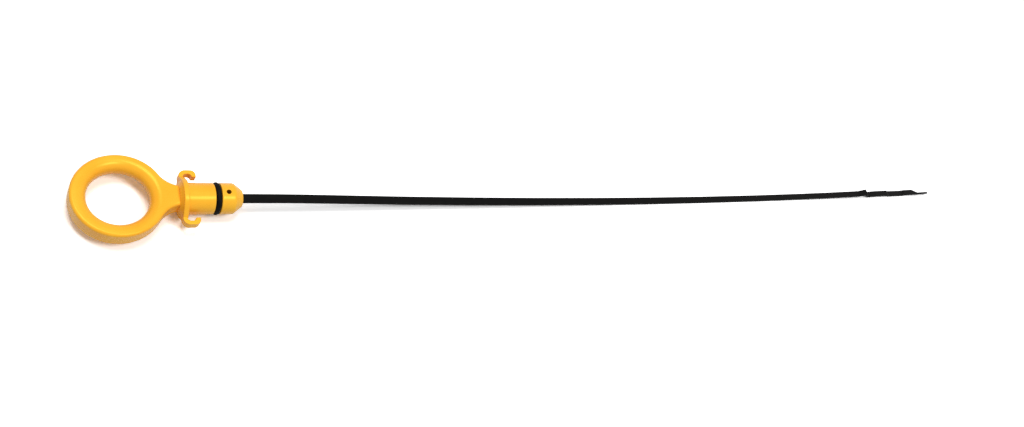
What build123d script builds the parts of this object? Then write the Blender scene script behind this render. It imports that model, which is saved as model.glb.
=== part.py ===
"""Engine oil dipstick: a moulded handle with a finger ring and bayonet claws, an O-ring and a flat blade.

The origin is the middle of the seat, the flange face that meets the mouth of the guide tube. +X runs
along the stopper's axis from the seat to the blade, +Y lies across the finger ring and +Z is up. The
dipstick is drawn as it lies on a bench, on the flange's rim and on the blade. All sizes are in millimetres.
"""
import os
from math import acos, asin, atan2, cos, degrees, hypot, isclose, sin

from build123d import *

# Finger ring: flat-backed outside, round on the side that the finger pulls
ring_outer_radius = 17.7
ring_inner_radius = 11.55
ring_thickness = 8.2
ring_inner_land = 0.4
ring_crest_flat = 0.5
grip_edge_round = 1.2
ring_centre_to_seat = 25.2

# Neck between the ring and the flange
neck_half_width = 4.2

# Flange: a round plate across the axis, with two short arms that carry the claws, and a low cone behind
# it that the neck runs into
flange_radius = 8.2
flange_thickness = 2.1
flange_edge_round = 0.4
cone_height = 1.0
cone_base_radius = 7.4
cone_top_radius = 5.6

# Bayonet claws: two C-shaped hooks that open towards the axis
claw_wall = 1.7
claw_gap = 3.5
claw_outer_reach = 12.2
claw_mouth_depth = 1.4
claw_half_depth = 1.9
claw_inner_round = 1.5
claw_root_bend_radius = 2.8
claw_tip_bend_radius = 2.2
claw_edge_round = 0.35

# Stopper, its O-ring groove and the tapered nose
stopper_radius = 6.5
stopper_length = 18.75
stopper_edge_round = 0.3
groove_from_seat = 10.75
groove_width = 2.5
groove_floor_radius = 4.7
nose_length = 3.75
nose_end_radius = 3.6
nose_corner_round = 1.6
nose_end_round = 0.8
locating_hole_radius = 1.0
locating_hole_from_seat = 15.9

# O-ring, stretched over the groove's floor so that its inner side is pressed flat
o_ring_section = 2.2
o_ring_squeeze = 0.1

# Blade strip and the tang that is moulded into the handle
blade_width = 4.0
blade_thickness = 0.8
tang_length = 18.0
key_hole_radius = 0.9
key_hole_from_tang_end = 4.0

# Blade as it lies: it droops from the nose, then bows in one long arc, and drifts sideways in another
blade_reach = 541.4
droop_radius = 700.0
bow_radius = 4780.0
camber_radius = 17800.0

# Upper mark, a stepped kink, and lower mark, a shallow lowered stretch, with runs measured along X.
# The kink's clearance keeps both off the bench, so that the blade rests on its bow.
strip_bend_radius = 1.2
kink_lead_run = 2.0
kink_rise_run = 5.8
kink_rise = 2.55
kink_fall_run = 6.0
kink_return_run = 9.2
kink_clearance = 0.3
tip_lift = 0.85
upper_run = 13.4
upper_rise = 0.3
mark_step_run = 2.9
mark_drop = 1.15
lower_run = 16.5
mark_return = 0.7
end_run = 28.0
end_rise = 1.1

# Tip: one corner is cut away, which leaves a narrow tongue along the other edge
tongue_length = 12.0
tongue_width = 1.4
tongue_end_round = 0.5
bevel_length = 6.0

# How far a cutting shape or an overlapping profile runs past the material
overrun = 1.0

# Places worked out from the sizes above
ring_centre_x = -ring_centre_to_seat
flange_middle_x = -flange_thickness / 2
nose_end_x = stopper_length + nose_length
tang_start_x = nose_end_x - tang_length
bench_z = -flange_radius
ring_width = ring_outer_radius - ring_inner_radius
ring_inner_round = min(
    (ring_thickness - ring_inner_land) / 2,
    ring_width - grip_edge_round - ring_crest_flat,
)
neck_reach = ring_centre_to_seat - flange_thickness / 2
neck_sweep_radius = (neck_reach**2 + neck_half_width**2 - ring_outer_radius**2) / (
    2 * (ring_outer_radius - neck_half_width)
)


def finger_ring():
    """Ring about its own centre, with the inner side rounded and the outer edges still sharp."""
    section = Pos(ring_inner_radius + ring_width / 2, 0) * Rectangle(ring_width, ring_thickness)
    inner_corners = section.vertices().group_by(Axis.X)[0]
    section = fillet(inner_corners, ring_inner_round)
    return revolve(Plane.XZ * section, Axis.Z)


def neck():
    """Plate from the ring's crest to the flange, with sides that sweep out to meet the ring's outside."""
    sweep_centre_y = neck_half_width + neck_sweep_radius
    meet = Vector(neck_reach, sweep_centre_y) * (ring_outer_radius / hypot(neck_reach, sweep_centre_y))
    crest_radius = ring_outer_radius - grip_edge_round - ring_crest_flat / 2
    crest = meet * (crest_radius / ring_outer_radius)
    side = TangentArc((neck_reach, neck_half_width), meet, tangent=(-1, 0))
    inward = Line(meet, crest)
    front = Line((neck_reach, -neck_half_width), (neck_reach, neck_half_width))
    back = ThreePointArc(crest, (crest_radius, 0), (crest.X, -crest.Y))
    outline = make_face([side, inward, back, mirror(inward, Plane.XZ), mirror(side, Plane.XZ), front])
    return extrude(outline, ring_thickness / 2, both=True)


def grip():
    """Ring and neck in one, with the outer edges rounded all the way round."""
    sharp = finger_ring() + neck()
    outer_edges = [
        edge
        for edge in sharp.edges().filter_by(GeomType.CIRCLE)
        if isclose(abs(edge.center().Z), ring_thickness / 2, abs_tol=1e-6)
        and (
            isclose(edge.radius, ring_outer_radius, abs_tol=1e-4)
            or isclose(edge.radius, neck_sweep_radius, abs_tol=1e-4)
        )
    ]
    return Pos(ring_centre_x, 0, 0) * fillet(outer_edges, grip_edge_round)


def flange():
    """Round plate and its cone, with an arm on each side that narrows straight from the rim to its claw."""
    arm_reach = claw_outer_reach - claw_root_bend_radius
    arm_half_depth = claw_half_depth - claw_edge_round
    arm_end = Vector(arm_reach, arm_half_depth)
    meet_angle = atan2(arm_half_depth, arm_reach) + acos(flange_radius / arm_end.length)
    meet = Vector(cos(meet_angle), sin(meet_angle)) * flange_radius
    arm = make_face(Polyline(arm_end, meet, (meet.X, -meet.Y), (arm_reach, -arm_half_depth), close=True))
    outline = Circle(flange_radius) + arm + mirror(arm, Plane.YZ)
    plate = extrude(Plane.YZ * outline, -flange_thickness)
    plate = fillet(plate.faces().filter_by(Axis.X).edges(), flange_edge_round)
    cone_middle_x = -flange_thickness - cone_height / 2
    cone = Pos(cone_middle_x, 0, 0) * Rot(0, -90, 0) * Cone(cone_base_radius, cone_top_radius, cone_height)
    return plate + cone


def claw():
    """Hook on the +Y side: out from the flange, round and back in, with its mouth towards the axis."""
    root_y = flange_radius - claw_wall
    reach_x = claw_gap + 2 * claw_wall
    outside = Pos(reach_x / 2, (root_y + claw_outer_reach) / 2)
    outside *= Rectangle(reach_x, claw_outer_reach - root_y)
    root_corner = outside.vertices().sort_by_distance((-reach_x, claw_outer_reach))[0]
    outside = fillet(root_corner, claw_root_bend_radius)
    tip_corner = outside.vertices().sort_by_distance((reach_x, claw_outer_reach))[0]
    outside = fillet(tip_corner, claw_tip_bend_radius)
    gap_top_y = claw_outer_reach - claw_wall
    gap_height = gap_top_y - root_y + overrun
    gap = Pos(reach_x / 2, gap_top_y - gap_height / 2) * Rectangle(claw_gap, gap_height)
    gap = fillet(gap.vertices().group_by(Axis.Y)[-1], claw_inner_round)
    tip_cut_height = gap_height - claw_mouth_depth
    tip_cut_width = reach_x / 2 + overrun
    tip_cut = Pos(reach_x / 2 + tip_cut_width / 2, root_y - overrun + tip_cut_height / 2)
    tip_cut *= Rectangle(tip_cut_width, tip_cut_height)
    hook = extrude(outside - gap - tip_cut, claw_half_depth, both=True)
    hook = fillet(hook.faces().filter_by(Axis.Z).edges(), claw_edge_round)
    return Pos(-flange_thickness, 0, 0) * hook


def stopper():
    """Turned form on the axis: stopper with its groove, then the nose that tapers down to the blade."""
    groove_end = groove_from_seat + groove_width
    profile = [
        (flange_middle_x, 0),
        (flange_middle_x, stopper_radius),
        (groove_from_seat, stopper_radius),
        (groove_from_seat, groove_floor_radius),
        (groove_end, groove_floor_radius),
        (groove_end, stopper_radius),
        (stopper_length, stopper_radius),
        (nose_end_x, nose_end_radius),
        (nose_end_x, 0),
    ]
    half = make_face(Polyline(*profile, close=True))

    def corners_at(x, radius):
        return half.vertices().sort_by_distance((x, radius))[:1]

    half = fillet(corners_at(groove_from_seat, stopper_radius), stopper_edge_round)
    half = fillet(corners_at(groove_end, stopper_radius), stopper_edge_round)
    half = fillet(corners_at(stopper_length, stopper_radius), nose_corner_round)
    half = fillet(corners_at(nose_end_x, nose_end_radius), nose_end_round)
    return revolve(half, Axis.X)


def locating_hole():
    """Hole that the mould's locating pin leaves in the nose, from the top down to the tang."""
    depth = stopper_radius + overrun
    return Pos(locating_hole_from_seat, 0, depth / 2) * Cylinder(locating_hole_radius, depth)


def formed_strip():
    """Side view of the blade, one strip thickness all along, as a wide sheet."""
    drop = -bench_z - blade_thickness / 2
    droop_angle = acos(1 - drop / (droop_radius + bow_radius))
    lowest_x = nose_end_x + (droop_radius + bow_radius) * sin(droop_angle)
    tip_zone = (
        kink_lead_run + kink_rise_run + kink_fall_run + kink_return_run
        + upper_run + 2 * mark_step_run + lower_run + end_run
    )
    bow_end_angle = asin((blade_reach - tip_zone - lowest_x) / bow_radius)
    tang = Line((tang_start_x - overrun, 0), (nose_end_x, 0))
    droop = JernArc(tang @ 1, tang % 1, droop_radius, -degrees(droop_angle))
    bow = JernArc(droop @ 1, droop % 1, bow_radius, degrees(droop_angle + bow_end_angle))
    lead = Vector(kink_lead_run, kink_lead_run * sin(bow_end_angle) / cos(bow_end_angle))
    trough_z = bench_z + kink_clearance + blade_thickness / 2
    points = [bow @ 1, bow @ 1 + lead]
    points.append(points[-1] + Vector(kink_rise_run, kink_rise))
    points.append(Vector(points[-1].X + kink_fall_run, trough_z))
    points.append(points[-1] + Vector(kink_return_run, tip_lift))
    points.append(points[-1] + Vector(upper_run, upper_rise))
    points.append(points[-1] + Vector(mark_step_run, -mark_drop))
    points.append(points[-1] + Vector(lower_run, 0))
    points.append(points[-1] + Vector(mark_step_run, mark_return))
    points.append(points[-1] + Vector(end_run, end_rise) * ((end_run + overrun) / end_run))
    marks = FilletPolyline(*points, radius=strip_bend_radius)
    side = trace(Wire(tang.edges() + droop.edges() + bow.edges() + marks.edges()), blade_thickness)
    return extrude(Plane.XZ * side, blade_reach, both=True)


def blank():
    """Plan view of the blade as it was cut: a long strip, with the tongue left at the tip."""
    camber_angle = asin((blade_reach - nose_end_x) / camber_radius)
    tang = Line((tang_start_x, 0), (nose_end_x, 0))
    drift = JernArc(tang @ 1, tang % 1, camber_radius, degrees(camber_angle))
    strip = trace(Wire(tang.edges() + drift.edges()), blade_width)
    edge_y = blade_width / 2
    tongue_y = tongue_width - edge_y
    bevel_slope = (edge_y - tongue_y) / bevel_length
    corner = [
        (overrun, tongue_y),
        (-tongue_length, tongue_y),
        (-tongue_length - bevel_length - overrun, edge_y + overrun * bevel_slope),
        (overrun, edge_y + overrun * bevel_slope),
    ]
    at_tip = Pos(*(drift @ 1)) * Rot(0, 0, degrees(camber_angle))
    cut = strip - at_tip * make_face(Polyline(*corner, close=True))
    tongue_corners = cut.vertices().sort_by_distance(drift @ 1)[:2]
    cut = fillet(tongue_corners, tongue_end_round)
    key_hole = Pos(tang_start_x + key_hole_from_tang_end, 0) * Circle(key_hole_radius)
    return extrude(cut - key_hole, blade_reach, both=True)


def blade():
    """The blank bent to its side view: what the plan and the side view share."""
    return formed_strip() & blank()


def handle(blade_solid):
    """The moulding, closed round the blade's tang."""
    hook = claw()
    body = grip() + flange() + hook + mirror(hook, Plane.XZ) + stopper()
    return body - locating_hole() - blade_solid


def o_ring():
    """Round-section ring in its groove, flattened where it is stretched over the groove's floor."""
    middle_radius = groove_floor_radius - o_ring_squeeze + o_ring_section / 2
    across = Pos(groove_from_seat + groove_width / 2, 0, 0) * Rot(0, 90, 0)
    return across * (Torus(middle_radius, o_ring_section / 2) - Cylinder(groove_floor_radius, groove_width))


blade_part = blade()
nodes = {
    "handle": handle(blade_part),
    "o_ring": o_ring(),
    "blade": blade_part,
}

os.makedirs("parts", exist_ok=True)
for name, solid in nodes.items():
    export_step(solid, f"parts/{name}.step")
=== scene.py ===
import bpy
import numpy as np
from mathutils import Matrix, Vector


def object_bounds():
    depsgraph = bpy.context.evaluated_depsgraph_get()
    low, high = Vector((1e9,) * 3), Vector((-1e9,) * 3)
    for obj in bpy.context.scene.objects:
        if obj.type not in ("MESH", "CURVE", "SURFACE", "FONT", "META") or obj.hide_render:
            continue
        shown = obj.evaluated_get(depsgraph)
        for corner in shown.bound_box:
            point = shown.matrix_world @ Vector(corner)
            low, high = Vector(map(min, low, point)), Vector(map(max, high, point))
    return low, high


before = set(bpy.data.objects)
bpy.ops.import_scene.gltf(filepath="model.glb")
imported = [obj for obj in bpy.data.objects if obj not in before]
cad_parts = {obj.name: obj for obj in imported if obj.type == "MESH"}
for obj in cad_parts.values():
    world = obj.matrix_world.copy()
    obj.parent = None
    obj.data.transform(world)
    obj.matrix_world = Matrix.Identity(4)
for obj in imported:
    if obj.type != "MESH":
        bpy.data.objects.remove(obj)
solid_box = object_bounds()


# Handle: one injection moulding in yellow glass-filled nylon, with the finger ring, the neck, the flange,
# the bayonet claws and the stopper in one shot round the blade's tang. The mould was finely blasted, so
# the skin is satin and a little uneven. Painted shade darkens the locating hole in the nose.
def linear(hex_colour):
    """Linear RGBA of an sRGB hex colour. A channel up to 0.04045 is divided by 12.92. A brighter one has
    0.055 added, is divided by 1.055 and raised to the power 2.4."""
    channels = [int(hex_colour[i:i + 2], 16) / 255 for i in (1, 3, 5)]
    return tuple(c / 12.92 if c <= 0.04045 else ((c + 0.055) / 1.055) ** 2.4 for c in channels) + (1.0,)


def add(owner, kind, settings=None, links=None):
    """Adds one node: settings are its input values and attributes by name, links the sockets that feed it."""
    node = owner.node_tree.nodes.new(kind)
    for name, value in (settings or {}).items():
        if name in node.inputs:
            node.inputs[name].default_value = value
        else:
            setattr(node, name, value)
    for name, source in (links or {}).items():
        owner.node_tree.links.new(source, node.inputs[name])
    return node


def new_material(name):
    """A material with no nodes in it yet."""
    material = bpy.data.materials.new(name)
    material.use_nodes = True
    material.node_tree.nodes.clear()
    return material


def per_mm(size):
    """Noise scale that puts one feature on that many millimetres: a thousand over the size, for metres."""
    return 1000.0 / size


nylon = new_material("moulded_yellow_nylon")
place = add(nylon, "ShaderNodeTexCoord").outputs["Object"]

# Slow flow marks of the melt shift the yellow a little.
flow = add(
    nylon,
    "ShaderNodeTexNoise",
    {"Scale": per_mm(14.0), "Detail": 3.0, "Roughness": 0.5},
    {"Vector": place},
)
flow_share = add(
    nylon,
    "ShaderNodeMapRange",
    {"From Min": 0.3, "From Max": 0.7},
    {"Value": flow.outputs["Fac"]},
)
yellow = add(
    nylon,
    "ShaderNodeMixRGB",
    {"Color1": linear("#FFB02C"), "Color2": linear("#FFBC36")},
    {"Fac": flow_share.outputs["Result"]},
)

# The blasted grain is really about 0.1 mm, and is drawn coarser so that it shows.
grain = add(
    nylon,
    "ShaderNodeTexNoise",
    {"Scale": per_mm(0.45), "Detail": 2.0, "Roughness": 0.6},
    {"Vector": place},
)
satin = add(nylon, "ShaderNodeMapRange", {"To Min": 0.23, "To Max": 0.31}, {"Value": grain.outputs["Fac"]})
skin = add(nylon, "ShaderNodeBump", {"Strength": 0.12, "Distance": 0.00003}, {"Height": grain.outputs["Fac"]})

# Painted shade: a dark brown disc colours what lies within the locating hole's radius of its axis, on the
# upper half alone, standing in for the shade down the deep hole.
hole_from_seat = 0.0159
hole_shade_full_within = 0.00098
hole_shade_gone_beyond = 0.00104
hole_shade_full_above = 0.0005
from_hole = add(
    nylon,
    "ShaderNodeMapping",
    {"Location": (-hole_from_seat, 0.0, 0.0), "Scale": (1.0, 1.0, 0.0)},
    {"Vector": place},
)
hole_distance = add(
    nylon,
    "ShaderNodeVectorMath",
    {"operation": "LENGTH"},
    {"Vector": from_hole.outputs["Vector"]},
)
in_hole = add(
    nylon,
    "ShaderNodeMapRange",
    {"From Min": hole_shade_full_within, "From Max": hole_shade_gone_beyond, "To Min": 1.0, "To Max": 0.0},
    {"Value": hole_distance.outputs["Value"]},
)
height = add(nylon, "ShaderNodeSeparateXYZ", links={"Vector": place})
hole_shade = add(
    nylon,
    "ShaderNodeMapRange",
    {"From Max": hole_shade_full_above},
    {"Value": height.outputs["Z"], "To Max": in_hole.outputs["Result"]},
)
# Mixes the painted shade of the locating hole into the yellow.
yellow_and_hole_shade = add(
    nylon,
    "ShaderNodeMixRGB",
    {"Color2": linear("#54260C")},
    {"Fac": hole_shade.outputs["Result"], "Color1": yellow.outputs["Color"]},
)
plastic = add(
    nylon,
    "ShaderNodeBsdfPrincipled",
    {"IOR": 1.53, "Specular IOR Level": 0.55, "Specular Tint": linear("#FFE066")},
    {
        "Base Color": yellow_and_hole_shade.outputs["Color"],
        "Roughness": satin.outputs["Result"],
        "Normal": skin.outputs["Normal"],
    },
)
add(nylon, "ShaderNodeOutputMaterial", links={"Surface": plastic.outputs["BSDF"]})


def dress(node_name, material):
    """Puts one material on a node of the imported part."""
    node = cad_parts[node_name]
    node.data.materials.clear()
    node.data.materials.append(material)


dress("handle", nylon)

# O-ring: black nitrile rubber, moulded round and stretched into the stopper's groove. It is matt, with
# a slight bloom that greys it in patches.
nitrile = new_material("black_nitrile_rubber")
place = add(nitrile, "ShaderNodeTexCoord").outputs["Object"]
bloom = add(
    nitrile,
    "ShaderNodeTexNoise",
    {"Scale": per_mm(2.0), "Detail": 4.0, "Roughness": 0.6},
    {"Vector": place},
)
bloom_share = add(
    nitrile,
    "ShaderNodeMapRange",
    {"From Min": 0.35, "From Max": 0.75},
    {"Value": bloom.outputs["Fac"]},
)
black = add(
    nitrile,
    "ShaderNodeMixRGB",
    {"Color1": linear("#0B0A09"), "Color2": linear("#131210")},
    {"Fac": bloom_share.outputs["Result"]},
)
rubber = add(
    nitrile,
    "ShaderNodeBsdfPrincipled",
    {"IOR": 1.5, "Roughness": 0.6, "Specular IOR Level": 0.065},
    {"Base Color": black.outputs["Color"]},
)
add(nitrile, "ShaderNodeOutputMaterial", links={"Surface": rubber.outputs["BSDF"]})
dress("o_ring", nitrile)

# Blade: spring steel strip, blanked, bent to its marks and then chemically blackened. The black is thin and
# a little mottled, with faint lengthwise lines from rolling.
blackened = new_material("blackened_spring_steel")
place = add(blackened, "ShaderNodeTexCoord").outputs["Object"]
mottle = add(
    blackened,
    "ShaderNodeTexNoise",
    {"Scale": per_mm(3.0), "Detail": 4.0, "Roughness": 0.65},
    {"Vector": place},
)
mottle_share = add(
    blackened,
    "ShaderNodeMapRange",
    {"From Min": 0.3, "From Max": 0.7},
    {"Value": mottle.outputs["Fac"]},
)
oxide = add(
    blackened,
    "ShaderNodeMixRGB",
    {"Color1": linear("#080808"), "Color2": linear("#0F0E0D")},
    {"Fac": mottle_share.outputs["Result"]},
)
dull = add(
    blackened,
    "ShaderNodeMapRange",
    {"To Min": 0.45, "To Max": 0.6},
    {"Value": mottle.outputs["Fac"]},
)

# Rolling lines are really a few hundredths of a millimetre apart, and are drawn wider so that they show.
rolled_along = add(blackened, "ShaderNodeMapping", {"Scale": (0.02, 1.0, 1.0)}, {"Vector": place})
rolling = add(
    blackened,
    "ShaderNodeTexNoise",
    {"Scale": per_mm(0.35), "Detail": 2.0},
    {"Vector": rolled_along.outputs["Vector"]},
)
lines = add(
    blackened,
    "ShaderNodeBump",
    {"Strength": 0.15, "Distance": 0.00002},
    {"Height": rolling.outputs["Fac"]},
)
steel = add(
    blackened,
    "ShaderNodeBsdfPrincipled",
    {"Specular IOR Level": 0.045},
    {
        "Base Color": oxide.outputs["Color"],
        "Roughness": dull.outputs["Result"],
        "Normal": lines.outputs["Normal"],
    },
)
add(blackened, "ShaderNodeOutputMaterial", links={"Surface": steel.outputs["BSDF"]})
dress("blade", blackened)

# Bench: a white board that the dipstick lies on. It is white to the eye and to reflections, but throws back
# only part of the light on to the dipstick, and it keeps the shadow.
bench_z = float(solid_box[0][2])
bench_half = 0.9
bench_middle = np.mean(solid_box, axis=0)[:2]
corners = bench_middle + np.array([[-1, -1], [1, -1], [1, 1], [-1, 1]]) * bench_half
bench_mesh = bpy.data.meshes.new("bench")
bench_mesh.from_pydata(np.column_stack([corners, np.full(4, bench_z)]).tolist(), [], [(0, 1, 2, 3)])
bench = bpy.data.objects.new("bench", bench_mesh)
bpy.context.collection.objects.link(bench)


def ways_seen(owner):
    """Two sockets that are 0 or 1: seen straight by the camera, and seen in a reflection or through glass,
    which is the larger of the glossy and the transmission ray."""
    ray = add(owner, "ShaderNodeLightPath")
    mirrored = add(
        owner,
        "ShaderNodeMath",
        {"operation": "MAXIMUM"},
        {0: ray.outputs["Is Glossy Ray"], 1: ray.outputs["Is Transmission Ray"]},
    )
    return ray.outputs["Is Camera Ray"], mirrored.outputs["Value"]


# To the eye the board is past white, so that only the deeper shadows show on it.
white_to_eye = 1.5
white_in_mirror = 0.85
white_as_bounce = 0.62
board = new_material("white_board")
to_eye, in_mirror = ways_seen(board)
off_eye = add(
    board,
    "ShaderNodeMapRange",
    {"To Min": white_as_bounce, "To Max": white_in_mirror},
    {"Value": in_mirror},
)
white = add(
    board,
    "ShaderNodeMapRange",
    {"To Max": white_to_eye},
    {"Value": to_eye, "To Min": off_eye.outputs["Result"]},
)
matt = add(board, "ShaderNodeBsdfDiffuse", links={"Color": white.outputs["Result"]})
add(board, "ShaderNodeOutputMaterial", links={"Surface": matt.outputs["BSDF"]})
bench_mesh.materials.append(board)

# Light: a soft box almost overhead, a little behind the ring, a smaller one in front and to the right, which
# puts the streak on the stopper, and a dim room round them that is white to the eye and to reflections.
room_glow = 0.24
world = bpy.data.worlds.new("white_room")
bpy.context.scene.world = world
world.use_nodes = True
world.node_tree.nodes.clear()
to_eye, in_mirror = ways_seen(world)
room_seen = add(world, "ShaderNodeMath", {"operation": "MAXIMUM"}, {0: to_eye, 1: in_mirror})
room_level = add(world, "ShaderNodeMapRange", {"To Min": room_glow}, {"Value": room_seen.outputs["Value"]})
room = add(
    world,
    "ShaderNodeBackground",
    {"Color": linear("#FFFFFF")},
    {"Strength": room_level.outputs["Result"]},
)
add(world, "ShaderNodeOutputWorld", links={"Surface": room.outputs["Background"]})


def stand(thing, place_at, right, up):
    """Puts a lamp or the camera at a place, its X axis along right and its Y axis along up. It looks against
    their cross product."""
    pose = np.eye(4)
    pose[:3, :3] = np.column_stack([right, up, np.cross(right, up)])
    pose[:3, 3] = place_at
    thing.matrix_world = Matrix(pose.tolist())
    bpy.context.collection.objects.link(thing)


def soft_box(name, place_at, size, power):
    """Square area lamp that faces the origin, the middle of the dipstick's seat: it looks against the line
    from there to its place, and its right is the cross product of Y and that line."""
    lamp = bpy.data.lights.new(name, "AREA")
    lamp.shape = "SQUARE"
    lamp.size = size
    lamp.energy = power
    back = np.array(place_at) / np.linalg.norm(place_at)
    right = np.cross([0.0, 1.0, 0.0], back)
    right = right / np.linalg.norm(right)
    stand(bpy.data.objects.new(name, lamp), place_at, right, np.cross(back, right))


soft_box("overhead_box", place_at=(-0.21, 0.36, 1.96), size=0.8, power=23.0)
soft_box("front_box", place_at=(0.57, -0.62, 1.81), size=0.6, power=15.5)

# Camera: close to the handle and looking along the blade, which is why the blade narrows so much. Its
# directions are the photograph's right and up, and its lens and shift give the photograph's framing.
image_width, image_height = 1024, 427
focal_pixels = 881.73
axis_pixel = (512.5, 186.14)
camera_place = (-0.08918, -0.16072, 0.33301)
view_right = np.array([0.82982, -0.24460, 0.50157])
view_up = np.array([-0.00560, 0.89512, 0.44580])
camera_data = bpy.data.cameras.new("camera")
camera_data.sensor_fit = "HORIZONTAL"
camera_data.sensor_width = 36.0
camera_data.lens = focal_pixels / image_width * camera_data.sensor_width
camera_data.shift_x = (image_width / 2 - axis_pixel[0]) / image_width
camera_data.shift_y = (axis_pixel[1] - image_height / 2) / image_width
camera_data.clip_start = 0.01
camera = bpy.data.objects.new("camera", camera_data)
stand(camera, camera_place, view_right, view_up)
bpy.context.scene.camera = camera

bpy.context.scene.view_settings.view_transform = "Standard"
